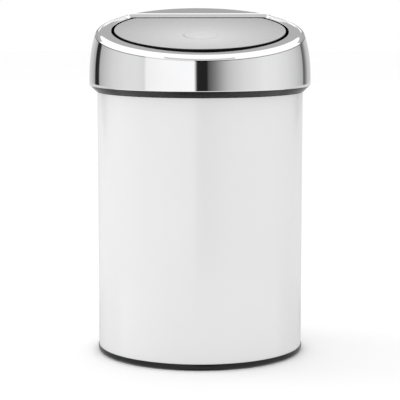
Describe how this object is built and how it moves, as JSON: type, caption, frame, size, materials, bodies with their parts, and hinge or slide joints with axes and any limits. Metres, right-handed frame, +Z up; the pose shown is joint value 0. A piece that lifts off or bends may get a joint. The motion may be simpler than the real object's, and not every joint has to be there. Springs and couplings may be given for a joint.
{
  "type": "push top countertop bin",
  "caption": "Round countertop bin with a lacquered steel body, a lift-out bucket and a polished sloping ring round a push-to-open lid.",
  "frame": {"origin": "centre of the base on the surface that the bin stands on", "axes": "+Z up, -Y towards the front where the lid is pushed, +X to the right seen from the front; the lid's hinge is at the rear, +Y"},
  "size_m": [0.1828, 0.1823, 0.2843],
  "materials": {
    "white_lacquer": "satin",
    "black_plastic": "satin",
    "zinc_steel": "zinc plated",
    "bucket_plastic": "satin",
    "wire_steel": "bright",
    "polished_steel": "polished",
    "brushed_steel": "matt brushed",
    "soft_rubber": "matt",
    "latch_plastic": "satin"
  },
  "bodies": {
    "body": {"outer_shell": "white_lacquer", "base_ring": "black_plastic", "bottom_plate": "zinc_steel"},
    "bucket": {"inner_bucket": "bucket_plastic"},
    "handle": {"bucket_handle": "wire_steel", "handle_grip": "black_plastic"},
    "lid_unit": {"lid_frame": "black_plastic", "collar_band": "black_plastic", "lid_ring": "polished_steel", "hinge_bracket": "zinc_steel", "bracket_screws": "wire_steel", "hinge_rod": "wire_steel", "rod_clips": "wire_steel", "lid_spring_left": "wire_steel", "lid_spring_right": "wire_steel", "lid_bumpers": "soft_rubber", "latch_housing": "black_plastic", "latch_screws": "wire_steel", "latch_spring": "wire_steel"},
    "latch": {"latch_slider": "bucket_plastic", "latch_claws": "latch_plastic"},
    "lid": {"lid_panel": "brushed_steel", "lid_tray": "black_plastic", "latch_striker": "latch_plastic", "striker_screws": "wire_steel"}
  },
  "joints": [
    {"name": "bucket_lift", "type": "slide", "parent": "body", "child": "bucket", "axis": [0, 0, 1], "range_m": [0, 0.24]},
    {"name": "lid_unit_lift", "type": "slide", "parent": "bucket", "child": "lid_unit", "axis": [0, 0, 1], "range_m": [0, 0.085]},
    {"name": "handle_swing", "type": "hinge", "parent": "bucket", "child": "handle", "pos_m": [0, 0, 0.2004], "axis": [1, 0, 0], "range_deg": [0, 90]},
    {"name": "lid_open", "type": "hinge", "parent": "lid_unit", "child": "lid", "pos_m": [0, 0.04584, 0.27263], "axis": [-1, 0, 0], "range_deg": [-1.2, 84]},
    {"name": "latch_travel", "type": "slide", "parent": "lid_unit", "child": "latch", "axis": [0, -0.2011, 0.9796], "range_m": [-0.002, 0.005], "stiffness_N_per_m": 150, "deforming": ["latch_spring", "latch_claws"]}
  ],
  "couplings": [
    {"joint": "handle_swing", "follows": "lid_unit_lift", "rad_per_m": 18.45}
  ]
}
